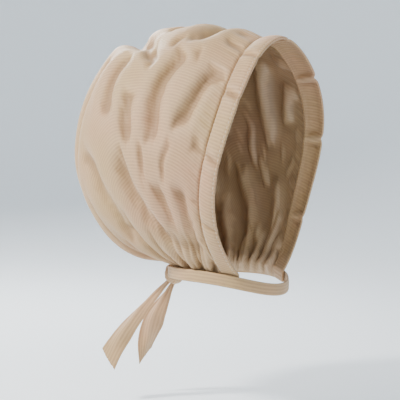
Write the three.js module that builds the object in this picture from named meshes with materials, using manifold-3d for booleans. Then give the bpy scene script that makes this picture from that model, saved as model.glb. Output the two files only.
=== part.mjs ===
// Rain bonnet: a full, gathered hood of knitted cloth with a flat band along the face, held by a
// ribbon that runs under the chin and is knotted at the nape. It has the form it takes when worn,
// with no head in it. Millimetres, +Z up, the face towards -Y and the wearer's left towards +X.
// The origin is on the inside of the hood, where the top of the head holds it up.
import * as THREE from "three";
import { mergeVertices } from "three/addons/utils/BufferGeometryUtils.js";
import Module from "manifold-3d";

const wasm = await Module();
wasm.setup();

const { lerp, degToRad, radToDeg, smoothstep, clamp } = THREE.MathUtils;

// Colour and finish of the knitted cloth
const CLOTH_COLOUR = 0xc8b6a0;
const CLOTH_ROUGHNESS = 0.7;

// Hood, measured from the centre of the neck ring
const HOOD_HEIGHT = 231; // up to its highest section, before the folds
const HOOD_DEPTH = 202; // from the seam at the face band to the back
const HOOD_WIDTH = 196;
const HOOD_WALL = 1.6;
const SEAM_AHEAD = 40; // the seam's top lies this far ahead of the neck's centre
const SEAM_SLIMNESS = 1.15; // 1 for a round arch, more for one that is slimmer above and below
const HOOD_SLIMNESS = 1;
const SWAY = 5.5; // how far the seam swings ahead above the temples and back below the ears
const HEAD_TOP_ALONG = 0.168; // where the head touches, as a share from the seam to the nape
const HEM = 10; // how far the hood and the band reach down inside the ribbon

// Neck ring: the line along which the hood is gathered, along the middle of the ribbon
const NECK_WIDTH = 106;
const NECK_DEPTH = 110;
const CHIN_DROP = 14; // how far it dips under the chin
const SEAM_ANGLE = 64; // round the neck from its front, in degrees
const NAPE_ANGLE = 170;

// Gathers that fan out of the neck ring
const PLEATS = 28; // all the way round
const PLEAT_DEPTH = 4.2;
const PLEAT_REACH = 105; // how far up the longest ones fade out
const PLEAT_DRIFT = 1.1; // how unevenly they are spaced
const SEAM_CALM = 0.07; // share of the hood beside the seam over which folds fade out
const PRESSED_DEPTH = 0.8; // what is left of them inside the ribbon

// Face band
const BAND_WALL = 2.6;
const BAND_AHEAD = 62; // its front edge's top lies this far ahead of the neck's centre
const BAND_TOP = 214; // and this far above it
const BAND_SPAN = 172; // the face opening's greatest width, outside the band
const BAND_FRONT_ANGLE = 47; // where its front edge meets the neck ring
const BAND_CROWN = 2.4; // how far its middle stands out, as a soft tube
const PUCKER_DEPTH = 2.2;

// Ribbon, its knot and its two free ends
const RIBBON_WIDTH = 11;
const RIBBON_WALL = 2;
const RIBBON_AT_KNOT = 8; // its width where it is drawn into the knot
const RIBBON_LIFT = 5; // how far it stands off the hood there
const RIBBON_SINK = 3; // and how far it dips there
const KNOT_ANGLE = 172; // round the neck, where the ribbon ends inside the knot
const KNOT_WIDTH = 25;
const KNOT_HEIGHT = 20;
const KNOT_DEPTH = 14;
const KNOT_BEHIND = 8; // its middle lies this far behind the hood's gathered edge
const KNOT_BELOW = 5.5; // and this far below the neck ring
const KNOT_WRAP = 1.3; // how far the turn of ribbon over its middle stands out
const LONG_END = 112;
const SHORT_END = 104;
const END_WIDTH = 21;
const END_WALL = 1.6;

const CLEARANCE = 0.4; // between pieces
const SEAM_GAP = 0.7; // between the hood and the face band

// Sections of the hood, evenly spaced from the seam over the top and down the back. The nape closes
// them. Each is an arch across the hood: its top lies back and up, as shares of the depth and the
// height, and it spans wide, a share of the width.
const HOOD_SECTIONS = [
  { back: 0.0, up: 0.926, wide: 0.866 },
  { back: 0.171, up: 0.983, wide: 0.935 },
  { back: 0.354, up: 1.0, wide: 0.975 },
  { back: 0.537, up: 0.991, wide: 0.995 },
  { back: 0.712, up: 0.954, wide: 1.0 },
  { back: 0.849, up: 0.839, wide: 0.975 },
  { back: 0.937, up: 0.689, wide: 0.93 },
  { back: 0.975, up: 0.527, wide: 0.86 },
  { back: 0.95, up: 0.383, wide: 0.76 },
  { back: 0.865, up: 0.243, wide: 0.66 },
  { back: 0.73, up: 0.126, wide: 0.54 },
  { back: 0.59, up: 0.048, wide: 0.4 },
];

// Creases of the hood. Each bends from one place through another to a third: along is 0 at the seam
// and 1 at the nape, across is -1 at the neck ring on the right, 0 on top and 1 at it on the left.
// deep and wide are shares of CREASE_DEPTH and CREASE_HALF.
const CREASE_DEPTH = 9;
const CREASE_HALF = 10; // half a crease's width
const CREASES = [
  // the two deep ones over the top
  { from: [0.07, 0.24], by: [0.1, -0.02], to: [0.12, -0.24], deep: 1.0, wide: 1.1 },
  { from: [0.27, 0.28], by: [0.42, -0.05], to: [0.17, -0.28], deep: 1.1, wide: 1.3 },
  // the right side
  { from: [0.26, -0.26], by: [0.34, -0.34], to: [0.34, -0.5], deep: 0.6, wide: 0.9 },
  { from: [0.11, -0.28], by: [0.2, -0.38], to: [0.18, -0.62], deep: 0.7, wide: 0.9 },
  { from: [0.03, -0.3], by: [0.07, -0.44], to: [0.1, -0.56], deep: 0.6, wide: 0.8 },
  { from: [0.25, -0.41], by: [0.28, -0.48], to: [0.28, -0.58], deep: 0.4, wide: 0.8 },
  { from: [0.48, -0.42], by: [0.46, -0.66], to: [0.58, -0.86], deep: 0.65, wide: 0.9 },
  { from: [0.33, -0.56], by: [0.38, -0.74], to: [0.24, -0.96], deep: 0.7, wide: 0.8 },
  { from: [0.21, -0.68], by: [0.16, -0.8], to: [0.18, -0.97], deep: 0.5, wide: 0.7 },
  { from: [0.1, -0.68], by: [0.05, -0.8], to: [0.08, -0.97], deep: 0.5, wide: 0.7 },
  // the left side
  { from: [0.24, 0.28], by: [0.3, 0.36], to: [0.33, 0.54], deep: 0.6, wide: 0.9 },
  { from: [0.09, 0.26], by: [0.17, 0.4], to: [0.15, 0.6], deep: 0.65, wide: 0.9 },
  { from: [0.04, 0.34], by: [0.06, 0.42], to: [0.08, 0.52], deep: 0.45, wide: 0.8 },
  { from: [0.5, 0.4], by: [0.44, 0.62], to: [0.55, 0.88], deep: 0.6, wide: 0.9 },
  { from: [0.31, 0.6], by: [0.36, 0.76], to: [0.26, 0.96], deep: 0.65, wide: 0.8 },
  { from: [0.14, 0.66], by: [0.1, 0.82], to: [0.13, 0.97], deep: 0.5, wide: 0.7 },
  // the back
  { from: [0.47, 0.12], by: [0.55, 0.02], to: [0.66, 0.06], deep: 0.35, wide: 0.9 },
  { from: [0.5, -0.24], by: [0.6, -0.3], to: [0.76, -0.42], deep: 0.4, wide: 0.8 },
  { from: [0.56, 0.3], by: [0.68, 0.36], to: [0.8, 0.5], deep: 0.4, wide: 0.8 },
  { from: [0.66, -0.08], by: [0.78, -0.1], to: [0.9, -0.2], deep: 0.4, wide: 0.7 },
];

// Puckers of the face band, at places along it: across is -1 at the neck ring on the right and 1 at it
// on the left.
const PUCKERS = [
  { across: -0.8, deep: 0.5 },
  { across: -0.6, deep: 0.9 },
  { across: -0.4, deep: 1.0 },
  { across: -0.23, deep: 0.9 },
  { across: 0.05, deep: 0.6 },
  { across: 0.3, deep: 1.0 },
  { across: 0.52, deep: 0.8 },
  { across: 0.78, deep: 0.6 },
];

// The ribbon's free ends, evenly spaced from the knot to the cut: side to the left, back and down as
// shares of the end's length, wide as a share of END_WIDTH, and the way that the cloth faces, in
// degrees from the back towards the right.
const LONG_END_SECTIONS = [
  { side: 0.0, back: 0.0, down: 0.0, wide: 0.42, faces: 25 },
  { side: -0.06, back: 0.13, down: 0.13, wide: 0.55, faces: 48 },
  { side: -0.14, back: 0.26, down: 0.3, wide: 0.75, faces: 70 },
  { side: -0.23, back: 0.39, down: 0.51, wide: 0.95, faces: 88 },
  { side: -0.31, back: 0.5, down: 0.75, wide: 1.1, faces: 98 },
];
const LONG_END_CUT = -0.09; // how much longer its left edge is cut than its right one
const SHORT_END_SECTIONS = [
  { side: 0.0, back: 0.0, down: 0.0, wide: 0.42, faces: 15 },
  { side: 0.02, back: 0.14, down: 0.17, wide: 0.62, faces: 55 },
  { side: 0.04, back: 0.29, down: 0.38, wide: 1.0, faces: 92 },
  { side: 0.08, back: 0.41, down: 0.62, wide: 0.85, faces: 138 },
  { side: 0.13, back: 0.5, down: 0.86, wide: 0.6, faces: 180 },
];
const SHORT_END_CUT = 0.14;

// Steps of the surfaces
const HOOD_ROWS = 41;
const HOOD_COLUMNS = 46;
const BAND_ROWS = 54;
const BAND_COLUMNS = 4;
const RIBBON_ROWS = 60;
const END_ROWS = 18;
const END_COLUMNS = 4;
const CREASE_STEPS = 14;

// Point on the neck ring: angle in degrees round the neck from its front to the left, out from the
// hood's gathered edge, and up from the ring.
function neckPoint(angle, out = 0, up = 0) {
  const turn = degToRad(angle);
  const x = (NECK_WIDTH / 2 + out) * Math.sin(turn);
  const ahead = (NECK_DEPTH / 2 + out) * Math.cos(turn);
  const dip = CHIN_DROP * ((1 + Math.cos(turn)) / 2) ** 4;
  return new THREE.Vector3(x, -ahead, up - dip);
}

// Arch over the head from a foot on the neck ring's left to its mirror image on the right. across
// runs from -1 at the right foot over the top, at 0, to 1 at the left foot.
function archPoint(foot, top, halfWidth, slimness, sway, across) {
  const widest = Math.max(halfWidth, foot.x);
  const last = Math.PI - Math.asin((foot.x / widest) ** (1 / slimness));
  const turn = across * last;
  const rise = (Math.cos(turn) - Math.cos(last)) / (1 - Math.cos(last));
  const side = Math.sign(across) * widest * Math.abs(Math.sin(turn)) ** slimness;
  const back = lerp(foot.y, top.y, rise) + sway * Math.sin(2 * Math.PI * rise);
  return new THREE.Vector3(side, back, lerp(foot.z, top.z, rise));
}

const RING_TOP = RIBBON_WIDTH / 2 + CLEARANCE;
const nape = neckPoint(180, 0, RING_TOP);
const hoodCurve = new THREE.CatmullRomCurve3([
  ...HOOD_SECTIONS.map(
    ({ back, up, wide }) =>
      new THREE.Vector3((wide * HOOD_WIDTH) / 2, back * HOOD_DEPTH - SEAM_AHEAD, up * HOOD_HEIGHT),
  ),
  new THREE.Vector3(neckPoint(NAPE_ANGLE).x, nape.y, nape.z),
]);

// Hood before its folds.
function hoodPoint(along, across) {
  const section = hoodCurve.getPoint(along);
  const foot = neckPoint(lerp(SEAM_ANGLE, NAPE_ANGLE, along), 0, RING_TOP);
  const open = 1 - smoothstep(along, 0, 0.35);
  const slimness = lerp(HOOD_SLIMNESS, SEAM_SLIMNESS, open);
  return archPoint(foot, section, section.x, slimness, SWAY * open, across);
}

// Depth of the creases at a point of the hood before its folds: a groove with a low ridge beside it.
const creaseLines = CREASES.map(({ from, by, to, deep, wide }) => {
  const bend = new THREE.QuadraticBezierCurve(
    new THREE.Vector2(...from), new THREE.Vector2(...by), new THREE.Vector2(...to));
  const points = bend.getPoints(CREASE_STEPS).map(({ x, y }) => hoodPoint(x, y));
  return { points, depth: deep * CREASE_DEPTH, half: wide * CREASE_HALF };
});

function creaseAt(point) {
  let fold = 0;
  for (const { points, depth, half } of creaseLines) {
    let near = Infinity;
    let place = 0;
    for (let i = 0; i < CREASE_STEPS; i++) {
      const line = new THREE.Line3(points[i], points[i + 1]);
      const share = line.closestPointToPointParameter(point, true);
      const distance = line.at(share, new THREE.Vector3()).distanceTo(point);
      if (distance < near) {
        near = distance;
        place = (i + share) / CREASE_STEPS;
      }
    }
    const fade = smoothstep(place, 0, 0.25) * smoothstep(1 - place, 0, 0.25);
    const spread = (near / half) ** 2;
    fold -= depth * fade * (1 - 0.5 * spread) * Math.exp(-0.6 * spread);
  }
  return fold;
}

// Depth of the gathers, always inwards, at a point of the hood before its folds.
function pleatAt(point) {
  const turn = Math.atan2(point.x, -point.y);
  const foot = neckPoint(radToDeg(turn), 0, RING_TOP);
  const away = foot.distanceTo(point);
  const phase = PLEATS * turn + PLEAT_DRIFT * (Math.sin(3 * turn + 0.6) + Math.sin(7 * turn + 2));
  const reach = PLEAT_REACH * (0.72 + 0.28 * Math.sin(2.3 * phase / Math.PI + 1));
  const fade = (1 - smoothstep(away, 0, reach)) ** 1.3;
  return (-PLEAT_DEPTH * fade * (1 - Math.cos(phase))) / 2;
}

// Closed cloth solid on a surface given by its points and triangles, which turn anticlockwise seen
// from outside. folds moves each point out along the surface; the wall lies on the inner side.
function clothSolid(points, faces, folds, wall) {
  const normalsOf = (places) => {
    const surface = new THREE.BufferGeometry().setFromPoints(places);
    surface.setIndex(faces.flat());
    surface.computeVertexNormals();
    return places.map((_, i) => new THREE.Vector3().fromBufferAttribute(surface.attributes.normal, i));
  };
  const out = normalsOf(points);
  const outer = points.map((p, i) => p.clone().addScaledVector(out[i], folds[i]));
  const facing = normalsOf(outer);
  const inner = points.map((p, i) => {
    const through = wall / clamp(out[i].dot(facing[i]), 0.6, 1);
    return p.clone().addScaledVector(out[i], folds[i] - through);
  });
  const count = points.length;
  const edges = new Set();
  const index = [];
  for (const [a, b, c] of faces) {
    for (const edge of [`${a},${b}`, `${b},${c}`, `${c},${a}`]) edges.add(edge);
    index.push(a, b, c, count + c, count + b, count + a);
  }
  for (const edge of edges) {
    const [from, to] = edge.split(",").map(Number);
    if (edges.has(`${to},${from}`)) continue;
    index.push(to, from, count + from, to, count + from, count + to);
  }
  const geometry = new THREE.BufferGeometry().setFromPoints([...outer, ...inner]);
  geometry.setIndex(index);
  return geometry;
}

// Triangles of a grid of points, row after row.
function gridFaces(rows, columns) {
  const faces = [];
  for (let row = 0; row < rows; row++) {
    for (let column = 0; column < columns; column++) {
      const a = row * (columns + 1) + column;
      const b = a + columns + 1;
      faces.push([a, b + 1, b], [a, a + 1, b + 1]);
    }
  }
  return faces;
}

function hood() {
  const points = [];
  for (let row = 0; row <= HOOD_ROWS; row++) {
    for (let column = 0; column <= HOOD_COLUMNS; column++) {
      points.push(hoodPoint(row / HOOD_ROWS, (2 * column) / HOOD_COLUMNS - 1));
    }
  }
  const folds = points.map((point, i) => {
    const fromSeam = Math.floor(i / (HOOD_COLUMNS + 1)) / HOOD_ROWS;
    return (creaseAt(point) + pleatAt(point)) * smoothstep(fromSeam, 0, SEAM_CALM);
  });
  const faces = gridFaces(HOOD_ROWS, HOOD_COLUMNS);
  // the gathered edge: down the left, round the nape and up the right, then the hem below it
  const wide = HOOD_COLUMNS + 1;
  const edge = [];
  for (let row = 0; row < HOOD_ROWS; row++) edge.push(row * wide + HOOD_COLUMNS);
  for (let column = HOOD_COLUMNS; column > 0; column--) edge.push(HOOD_ROWS * wide + column);
  for (let row = HOOD_ROWS; row >= 0; row--) edge.push(row * wide);
  edge.forEach((above, i) => {
    const point = points[above];
    points.push(new THREE.Vector3(point.x, point.y, point.z - HEM));
    folds.push((folds[above] * PRESSED_DEPTH) / PLEAT_DEPTH);
    if (i === 0) return;
    const below = points.length - 1;
    faces.push([edge[i - 1], below - 1, below], [edge[i - 1], below, above]);
  });
  return clothSolid(points, faces, folds, HOOD_WALL);
}

// Face band: its back edge follows the hood's seam and its front edge is an arch of its own.
function faceBand() {
  const top = new THREE.Vector3(0, -BAND_AHEAD, BAND_TOP);
  const points = [];
  const folds = [];
  for (let row = -1; row <= BAND_ROWS + 1; row++) {
    const across = clamp((2 * row) / BAND_ROWS - 1, -1, 1);
    const hem = row < 0 || row > BAND_ROWS ? HEM : 0;
    const seam = hoodPoint(0, across);
    const foot = neckPoint(BAND_FRONT_ANGLE, 0, RING_TOP);
    const front = archPoint(foot, top, BAND_SPAN / 2, SEAM_SLIMNESS, SWAY, across);
    const gap = SEAM_GAP / seam.distanceTo(front);
    let pucker = 0;
    for (const { across: place, deep } of PUCKERS) {
      pucker += deep * Math.exp(-(((across - place) / 0.022) ** 2));
    }
    for (let column = 0; column <= BAND_COLUMNS; column++) {
      const share = column / BAND_COLUMNS;
      const point = seam.clone().lerp(front, lerp(gap, 1, share));
      point.z -= hem;
      points.push(point);
      const middle = Math.sin(Math.PI * share) * smoothstep(1 - Math.abs(across), 0, 0.15);
      folds.push((BAND_CROWN - PUCKER_DEPTH * pucker) * middle);
    }
  }
  return clothSolid(points, gridFaces(BAND_ROWS + 2, BAND_COLUMNS), folds, BAND_WALL);
}

// Closed tube through sections of equally many points, which turn anticlockwise seen from its end.
function tube(sections) {
  const count = sections[0].length;
  const index = [];
  for (let ring = 0; ring + 1 < sections.length; ring++) {
    for (let i = 0; i < count; i++) {
      const a = ring * count + i;
      const b = ring * count + ((i + 1) % count);
      index.push(a, b + count, b, a, a + count, b + count);
    }
  }
  const last = (sections.length - 1) * count;
  for (let i = 1; i + 1 < count; i++) {
    index.push(0, i, i + 1, last, last + i + 1, last + i);
  }
  const geometry = new THREE.BufferGeometry().setFromPoints(sections.flat());
  geometry.setIndex(index);
  return geometry;
}

// Ribbon round the neck, both ends inside the knot. grow makes it larger all round.
function ribbon(grow = 0) {
  const sections = [];
  const end = KNOT_ANGLE + radToDeg(grow / (NECK_DEPTH / 2));
  for (let row = 0; row <= RIBBON_ROWS; row++) {
    const angle = lerp(-end, end, row / RIBBON_ROWS);
    const near = smoothstep(Math.abs(angle), KNOT_ANGLE - 20, KNOT_ANGLE - 2);
    const out = CLEARANCE + RIBBON_LIFT * near;
    const half = lerp(RIBBON_WIDTH, RIBBON_AT_KNOT, near) / 2 + grow;
    const middle = -RIBBON_SINK * near;
    const inside = out - grow;
    const outside = out + RIBBON_WALL + grow;
    sections.push([
      neckPoint(angle, inside, middle - half),
      neckPoint(angle, outside, middle - half * 0.8),
      neckPoint(angle, outside, middle + half * 0.8),
      neckPoint(angle, inside, middle + half),
    ]);
  }
  return tube(sections);
}

// One free end of the ribbon from a root inside the knot. grow makes it larger all round.
function freeEnd(root, length, table, cut, grow = 0) {
  const path = new THREE.CatmullRomCurve3(
    table.map(({ side, back, down }) =>
      new THREE.Vector3(side, back, -down).multiplyScalar(length).add(root)),
  );
  const shape = new THREE.CatmullRomCurve3(
    table.map(({ wide, faces }) => new THREE.Vector3(wide * END_WIDTH, faces, 0)),
  );
  const points = [];
  for (let row = 0; row <= END_ROWS; row++) {
    for (let column = 0; column <= END_COLUMNS; column++) {
      const beside = column / END_COLUMNS - 0.5;
      const share = (row / END_ROWS) * (1 - Math.abs(cut) / 2 + cut * beside);
      const { x: width, y: faces } = shape.getPoint(share);
      const turn = degToRad(faces);
      const facing = new THREE.Vector3(-Math.sin(turn), Math.cos(turn), 0);
      const ahead = path.getTangent(share);
      const over = ahead.clone().cross(facing).normalize();
      const normal = over.clone().cross(ahead);
      const point = path.getPoint(share).addScaledVector(over, beside * (width + 2 * grow));
      if (row === 0) point.addScaledVector(ahead, -grow);
      const curl = 0.16 * width * smoothstep(share, 0.05, 0.3) * Math.cos(2 * Math.PI * beside);
      points.push(point.addScaledVector(normal, curl + END_WALL / 2 + grow));
    }
  }
  const folds = points.map(() => 0);
  return clothSolid(points, gridFaces(END_ROWS, END_COLUMNS), folds, END_WALL + 2 * grow);
}

const knotPlace = neckPoint(180, KNOT_BEHIND, -KNOT_BELOW);
const longRoot = knotPlace.clone().add(new THREE.Vector3(-KNOT_WIDTH / 8, 0, -KNOT_HEIGHT / 5));
const shortRoot = knotPlace.clone().add(new THREE.Vector3(KNOT_WIDTH / 6, 0, -KNOT_HEIGHT / 5));

// Knot: a soft lump with one turn of ribbon over its middle, cut open where the ribbon enters it.
function knot() {
  const geometry = new THREE.SphereGeometry(1, 24, 16);
  const place = geometry.attributes.position;
  const point = new THREE.Vector3();
  for (let i = 0; i < place.count; i++) {
    point.fromBufferAttribute(place, i);
    const across = point.x + 0.25 * point.z;
    const wrap = KNOT_WRAP * (1 - smoothstep(Math.abs(across), 0.38, 0.56));
    const crease = 0.5 * Math.exp(-(((across - 0.1) / 0.08) ** 2));
    const full = [point.x, point.y, point.z].map((v) => Math.sign(v) * Math.abs(v) ** 0.85);
    place.setXYZ(
      i,
      full[0] * (KNOT_WIDTH / 2),
      full[1] * (KNOT_DEPTH / 2 - KNOT_WRAP + wrap - crease),
      full[2] * (KNOT_HEIGHT / 2 - KNOT_WRAP + wrap - crease),
    );
  }
  geometry.translate(knotPlace.x, knotPlace.y, knotPlace.z);
  return [
    ribbon(CLEARANCE),
    freeEnd(longRoot, LONG_END, LONG_END_SECTIONS, LONG_END_CUT, CLEARANCE),
    freeEnd(shortRoot, SHORT_END, SHORT_END_SECTIONS, SHORT_END_CUT, CLEARANCE),
  ].reduce((body, taken) => cutAway(body, taken), geometry);
}

function toManifold(geometry) {
  const plain = geometry.clone();
  plain.deleteAttribute("normal");
  plain.deleteAttribute("uv");
  const merged = mergeVertices(plain, 1e-4);
  return new wasm.Manifold(
    new wasm.Mesh({
      numProp: 3,
      vertProperties: new Float32Array(merged.attributes.position.array),
      triVerts: new Uint32Array(merged.index.array),
    }),
  );
}

function cutAway(geometry, taken) {
  const mesh = toManifold(geometry).subtract(toManifold(taken)).getMesh();
  const result = new THREE.BufferGeometry();
  result.setAttribute("position", new THREE.BufferAttribute(mesh.vertProperties, 3));
  result.setIndex(new THREE.BufferAttribute(mesh.triVerts, 1));
  return result;
}

const bonnet = new THREE.Group();
const headTop = hoodPoint(HEAD_TOP_ALONG, 0);
bonnet.position.set(0, -headTop.y, HOOD_WALL - headTop.z);

const cloth = new THREE.MeshStandardMaterial({
  color: CLOTH_COLOUR,
  roughness: CLOTH_ROUGHNESS,
  metalness: 0,
});

function addPiece(name, geometry) {
  const faceted = geometry.toNonIndexed();
  faceted.computeVertexNormals();
  const piece = new THREE.Mesh(faceted, cloth.clone());
  piece.name = name;
  bonnet.add(piece);
}

addPiece("hood", hood());
addPiece("face_band", faceBand());
addPiece("neck_ribbon", ribbon());
addPiece("knot", knot());
addPiece("long_end", freeEnd(longRoot, LONG_END, LONG_END_SECTIONS, LONG_END_CUT));
addPiece("short_end", freeEnd(shortRoot, SHORT_END, SHORT_END_SECTIONS, SHORT_END_CUT));

export default bonnet;
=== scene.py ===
"""Looks of the rain bonnet: the hood, face band, ribbon, knot and free ends as detailed cloth
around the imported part. Lengths are in millimetres until a mesh is made, then in metres."""

import math

import bmesh
import bpy
import numpy as np
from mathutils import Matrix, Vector


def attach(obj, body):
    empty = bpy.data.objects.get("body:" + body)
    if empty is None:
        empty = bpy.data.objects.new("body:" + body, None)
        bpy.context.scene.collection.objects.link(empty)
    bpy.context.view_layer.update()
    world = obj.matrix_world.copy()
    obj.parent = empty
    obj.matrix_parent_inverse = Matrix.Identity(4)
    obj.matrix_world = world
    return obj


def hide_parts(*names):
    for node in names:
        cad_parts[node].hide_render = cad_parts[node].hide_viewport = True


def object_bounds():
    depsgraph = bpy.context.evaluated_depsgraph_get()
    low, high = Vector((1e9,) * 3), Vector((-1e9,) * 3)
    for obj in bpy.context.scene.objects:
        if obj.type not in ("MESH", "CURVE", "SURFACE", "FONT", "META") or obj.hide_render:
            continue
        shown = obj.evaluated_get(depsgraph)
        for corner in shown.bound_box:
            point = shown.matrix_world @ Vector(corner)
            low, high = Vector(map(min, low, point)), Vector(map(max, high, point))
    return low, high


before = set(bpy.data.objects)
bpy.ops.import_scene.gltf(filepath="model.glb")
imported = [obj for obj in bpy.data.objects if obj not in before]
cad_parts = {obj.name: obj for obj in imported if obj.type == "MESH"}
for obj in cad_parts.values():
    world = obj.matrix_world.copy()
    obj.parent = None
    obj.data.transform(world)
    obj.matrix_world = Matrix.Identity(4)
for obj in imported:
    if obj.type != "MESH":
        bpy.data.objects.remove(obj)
cad_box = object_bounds()
MM = 0.001

# Sizes that the part is built from, in millimetres, degrees and shares
HOOD_HEIGHT = 231
HOOD_DEPTH = 202
HOOD_WIDTH = 196
HOOD_WALL = 1.6
SEAM_AHEAD = 40
SEAM_SLIMNESS = 1.15
HOOD_SLIMNESS = 1
OPEN_REACH = 0.35
SWAY = 5.5
HEAD_TOP_ALONG = 0.168
HEM = 10
NECK_WIDTH = 106
NECK_DEPTH = 110
CHIN_DROP = 14
SEAM_ANGLE = 64
NAPE_ANGLE = 170
PLEATS = 28
PLEAT_DEPTH = 4.2
PLEAT_REACH = 105
PLEAT_DRIFT = 1.1
SEAM_CALM = 0.07
PRESSED_DEPTH = 0.8
BAND_AHEAD = 62
BAND_TOP = 214
BAND_SPAN = 172
BAND_FRONT_ANGLE = 47
BAND_CROWN = 2.4
RIBBON_WIDTH = 11
RIBBON_WALL = 2
RIBBON_AT_KNOT = 8
RIBBON_LIFT = 5
RIBBON_SINK = 3
KNOT_ANGLE = 172
KNOT_WIDTH = 25
KNOT_HEIGHT = 20
KNOT_DEPTH = 14
KNOT_BEHIND = 8
KNOT_BELOW = 5.5
LONG_END = 112
SHORT_END = 104
END_WIDTH = 21
CLEARANCE = 0.4
SEAM_UNDER = 0.8  # how far the band reaches under the hood at the seam
RING_TOP = RIBBON_WIDTH / 2 + CLEARANCE

# back, up and wide of the hood's sections, from the seam to the nape
HOOD_SECTIONS = [
    (0.0, 0.926, 0.866),
    (0.171, 0.983, 0.935),
    (0.354, 1.0, 0.975),
    (0.537, 0.991, 0.995),
    (0.712, 0.954, 1.0),
    (0.849, 0.839, 0.975),
    (0.937, 0.689, 0.93),
    (0.975, 0.527, 0.86),
    (0.95, 0.383, 0.76),
    (0.865, 0.243, 0.66),
    (0.73, 0.126, 0.54),
    (0.59, 0.048, 0.4),
]

# Creases of the hood: from, by and to as (along, across), then how deep and how wide
CREASE_DEPTH = 9
CREASE_HALF = 10
CREASE_STEPS = 24
CREASE_FADE = 0.25
CREASES = [
    # the two deep ones over the top
    ((0.07, 0.24), (0.1, -0.02), (0.12, -0.24), 1.0, 1.1),
    ((0.27, 0.28), (0.42, -0.05), (0.17, -0.28), 1.1, 1.3),
    # the right side
    ((0.26, -0.26), (0.34, -0.34), (0.34, -0.5), 0.6, 0.9),
    ((0.11, -0.28), (0.2, -0.38), (0.18, -0.62), 0.7, 0.9),
    ((0.03, -0.3), (0.07, -0.44), (0.1, -0.56), 0.6, 0.8),
    ((0.25, -0.41), (0.28, -0.48), (0.28, -0.58), 0.4, 0.8),
    ((0.48, -0.42), (0.46, -0.66), (0.58, -0.86), 0.65, 0.9),
    ((0.33, -0.56), (0.38, -0.74), (0.24, -0.96), 0.7, 0.8),
    ((0.21, -0.68), (0.16, -0.8), (0.18, -0.97), 0.5, 0.7),
    ((0.1, -0.68), (0.05, -0.8), (0.08, -0.97), 0.5, 0.7),
    # the left side
    ((0.24, 0.28), (0.3, 0.36), (0.33, 0.54), 0.6, 0.9),
    ((0.09, 0.26), (0.17, 0.4), (0.15, 0.6), 0.65, 0.9),
    ((0.04, 0.34), (0.06, 0.42), (0.08, 0.52), 0.45, 0.8),
    ((0.5, 0.4), (0.44, 0.62), (0.55, 0.88), 0.6, 0.9),
    ((0.31, 0.6), (0.36, 0.76), (0.26, 0.96), 0.65, 0.8),
    ((0.14, 0.66), (0.1, 0.82), (0.13, 0.97), 0.5, 0.7),
    # the back
    ((0.47, 0.12), (0.55, 0.02), (0.66, 0.06), 0.35, 0.9),
    ((0.5, -0.24), (0.6, -0.3), (0.76, -0.42), 0.4, 0.8),
    ((0.56, 0.3), (0.68, 0.36), (0.8, 0.5), 0.4, 0.8),
    ((0.66, -0.08), (0.78, -0.1), (0.9, -0.2), 0.4, 0.7),
]

# Puckers of the face band: across and how deep
PUCKERS = [
    (-0.8, 0.5),
    (-0.6, 0.9),
    (-0.4, 1.0),
    (-0.23, 0.9),
    (0.05, 0.6),
    (0.3, 1.0),
    (0.52, 0.8),
    (0.78, 0.6),
]

# side, back, down, wide and facing of the ribbon's free ends
LONG_END_SECTIONS = [
    (0.0, 0.0, 0.0, 0.42, 25),
    (-0.06, 0.13, 0.13, 0.55, 48),
    (-0.14, 0.26, 0.3, 0.75, 70),
    (-0.23, 0.39, 0.51, 0.95, 88),
    (-0.31, 0.5, 0.75, 1.1, 98),
]
LONG_END_CUT = -0.09
SHORT_END_SECTIONS = [
    (0.0, 0.0, 0.0, 0.42, 15),
    (0.02, 0.14, 0.17, 0.62, 55),
    (0.04, 0.29, 0.38, 1.0, 92),
    (0.08, 0.41, 0.62, 0.85, 138),
    (0.13, 0.5, 0.86, 0.6, 180),
]
SHORT_END_CUT = 0.14


def smooth(x, low, high):
    """Smooth rise from 0 at low to 1 at high."""
    share = np.clip((np.asarray(x, float) - low) / (high - low), 0, 1)
    return share * share * (3 - 2 * share)


def mix(a, b, share):
    return a + (b - a) * share


def unit(v):
    return v / np.maximum(np.linalg.norm(v, axis=-1, keepdims=True), 1e-12)


def curve(points, share):
    """Places on a centripetal Catmull-Rom curve, as the part's source lays it."""
    points = np.asarray(points, float)
    last = len(points) - 1
    ends = [2 * points[0] - points[1], *points, 2 * points[-1] - points[-2]]
    padded = np.array(ends)
    place = np.clip(np.asarray(share, float), 0, 1) * last
    start = np.minimum(place.astype(int), last - 1)
    t = (place - start)[..., None]
    p0, p1, p2, p3 = (padded[start + i] for i in range(4))
    d0, d1, d2 = (
        np.maximum(np.linalg.norm(b - a, axis=-1, keepdims=True), 1e-8) ** 0.5
        for a, b in ((p0, p1), (p1, p2), (p2, p3))
    )
    t1 = ((p1 - p0) / d0 - (p2 - p0) / (d0 + d1) + (p2 - p1) / d1) * d1
    t2 = ((p2 - p1) / d1 - (p3 - p1) / (d1 + d2) + (p3 - p2) / d2) * d1
    c2 = -3 * p1 + 3 * p2 - 2 * t1 - t2
    c3 = 2 * p1 - 2 * p2 + t1 + t2
    return p1 + t1 * t + c2 * t**2 + c3 * t**3


def neck_point(angle, out=0.0, up=0.0):
    """Point on the neck ring, angle in degrees round the neck from its front to the left."""
    turn = np.radians(np.asarray(angle, float))
    x = (NECK_WIDTH / 2 + out) * np.sin(turn)
    ahead = (NECK_DEPTH / 2 + out) * np.cos(turn)
    dip = CHIN_DROP * ((1 + np.cos(turn)) / 2) ** 4
    return np.stack([x, -ahead, up - dip], axis=-1)


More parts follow.
